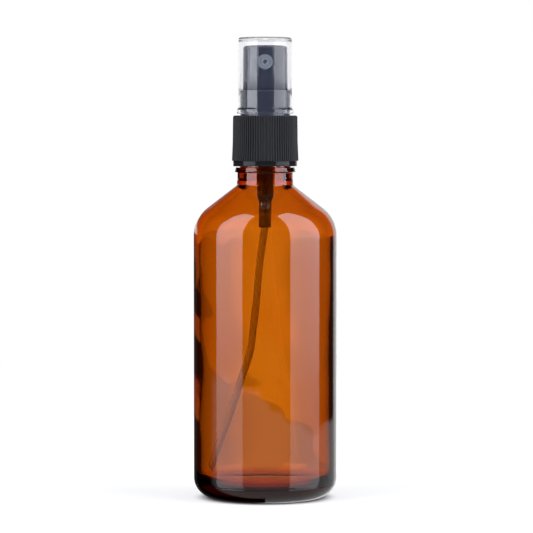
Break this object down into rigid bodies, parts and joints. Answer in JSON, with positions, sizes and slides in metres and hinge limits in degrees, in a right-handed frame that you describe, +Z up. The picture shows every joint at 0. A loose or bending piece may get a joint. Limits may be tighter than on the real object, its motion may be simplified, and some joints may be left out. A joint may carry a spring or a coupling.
{
  "type": "spray bottle",
  "caption": "Amber glass bottle with a screw-on fine-mist spray pump, a clear overcap and a curved dip tube.",
  "frame": {"origin": "centre of the base ring, on the surface that the bottle stands on", "axes": "+Z up along the bottle's axis, -Y the way the nozzle sprays, +X to the right of it"},
  "size_m": [0.0446, 0.0446, 0.1432],
  "materials": {
    "amber_glass": "clear, polished",
    "ribbed_black": "satin moulded",
    "smooth_black": "glossy moulded",
    "grey_insert": "satin moulded",
    "clear_plastic": "clear, polished",
    "milky_plastic": "natural, translucent",
    "white_plastic": "smooth moulded",
    "soft_foam": "fine closed-cell foam",
    "steel": "bright"
  },
  "bodies": {
    "bottle": {"bottle": "amber_glass"},
    "pump": {"pump_housing": "milky_plastic", "turret": "smooth_black", "retaining_ring": "white_plastic", "neck_gasket": "soft_foam", "dip_tube": "milky_plastic", "return_spring": "steel"},
    "collar": {"closure_collar": "ribbed_black"},
    "plunger": {"actuator_button": "smooth_black", "nozzle_insert": "grey_insert", "stem": "white_plastic", "piston_seat": "white_plastic", "precompression_spring": "steel"},
    "piston": {"piston": "milky_plastic"},
    "ball": {"inlet_ball": "steel"},
    "overcap": {"overcap": "clear_plastic"}
  },
  "joints": [
    {"name": "sprayer_lift", "type": "slide", "parent": "bottle", "child": "pump", "axis": [0, 0, 1], "range_m": [0, 0.00525]},
    {"name": "collar_turn", "type": "hinge", "parent": "pump", "child": "collar", "pos_m": [0, 0, 0.111], "axis": [0, 0, 1], "range_deg": [0, 590]},
    {"name": "actuator_press", "type": "slide", "parent": "pump", "child": "plunger", "axis": [0, 0, -1], "range_m": [0, 0.0045], "stiffness_N_per_m": 1500, "springref_m": -0.004, "deforming": ["return_spring"]},
    {"name": "piston_slip", "type": "slide", "parent": "plunger", "child": "piston", "axis": [0, 0, 1], "range_m": [0, 0.0006], "stiffness_N_per_m": 800, "springref_m": -0.001, "deforming": ["precompression_spring"]},
    {"name": "ball_lift", "type": "slide", "parent": "pump", "child": "ball", "axis": [0, 0, 1], "range_m": [0, 0.0011]},
    {"name": "overcap_pull", "type": "slide", "parent": "pump", "child": "overcap", "axis": [0, 0, 1], "range_m": [0, 0.03]}
  ],
  "couplings": [
    {"joint": "sprayer_lift", "follows": "collar_turn", "m_per_rad": 0.00050532}
  ]
}
